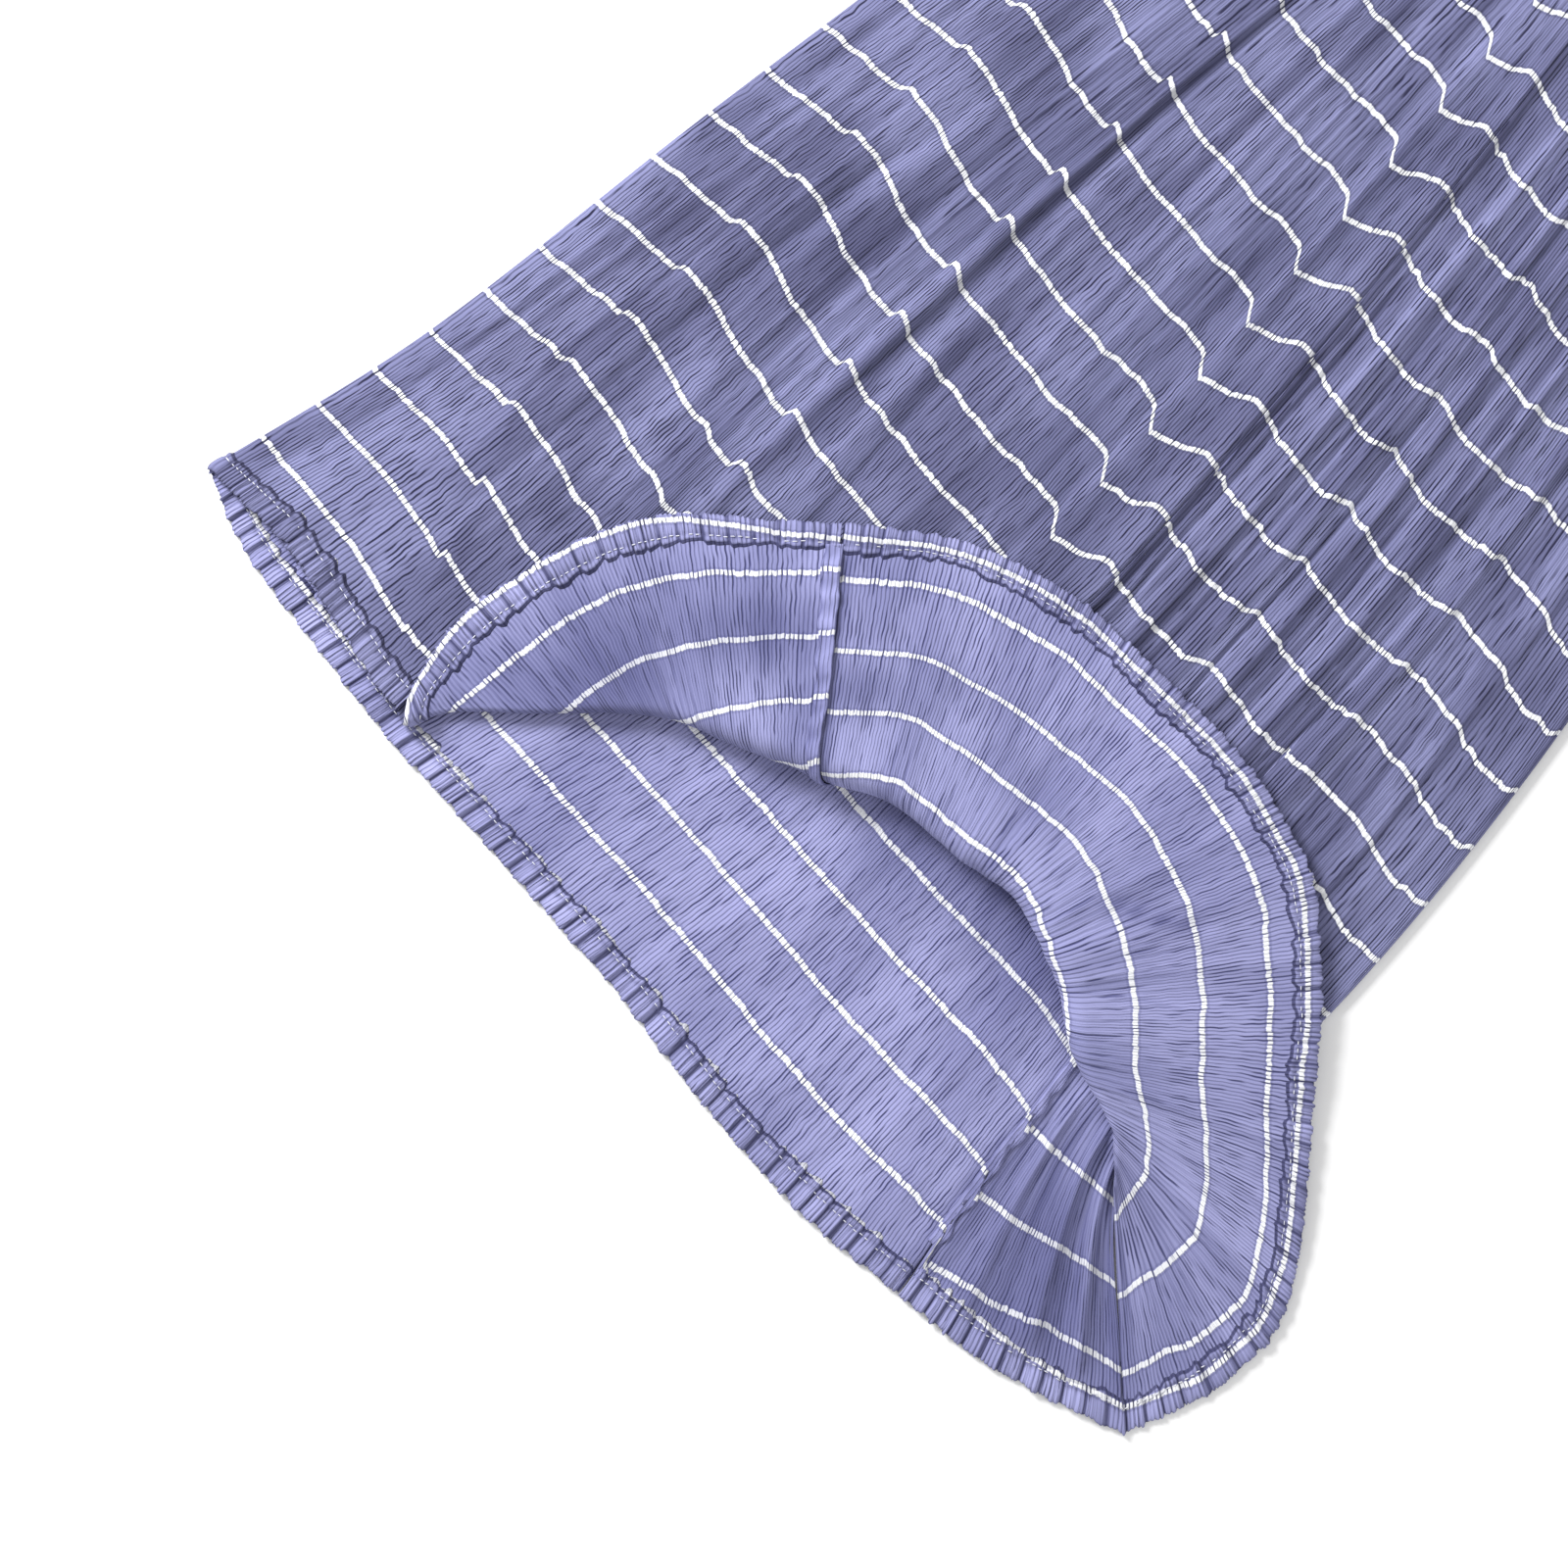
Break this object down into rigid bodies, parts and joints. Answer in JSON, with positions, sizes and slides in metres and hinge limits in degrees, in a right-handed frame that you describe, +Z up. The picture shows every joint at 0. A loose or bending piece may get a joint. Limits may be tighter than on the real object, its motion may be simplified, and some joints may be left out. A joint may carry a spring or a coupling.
{
  "type": "midi skirt",
  "caption": "Crinkled midi skirt with thin crosswise stripes, laid flat, its front hem folded back in a crescent to show the inside and the turned, gathered hem.",
  "frame": {"origin": "Middle of the garment's outline, on the flat surface that it lies on.", "axes": "+Y runs from the hem to the waist, +X across the skirt to the right seen from above with the waist at the top, +Z up out of the surface."},
  "size_m": [0.6238, 0.847, 0.0238],
  "materials": {
    "outer_cloth": "matte crinkled slate blue with thin white stripes",
    "inner_cloth": "matte periwinkle wrong side, gathered",
    "seam_cloth": "matte overlocked edge"
  },
  "bodies": {
    "root": {"left_panel": "outer_cloth", "right_panel": "outer_cloth", "left_hem_flap": "inner_cloth", "left_hem_lower": "inner_cloth", "right_hem": "inner_cloth", "front_seam_allowance": "seam_cloth", "back_seam_allowance": "seam_cloth", "waistband": "outer_cloth"}
  },
  "joints": []
}
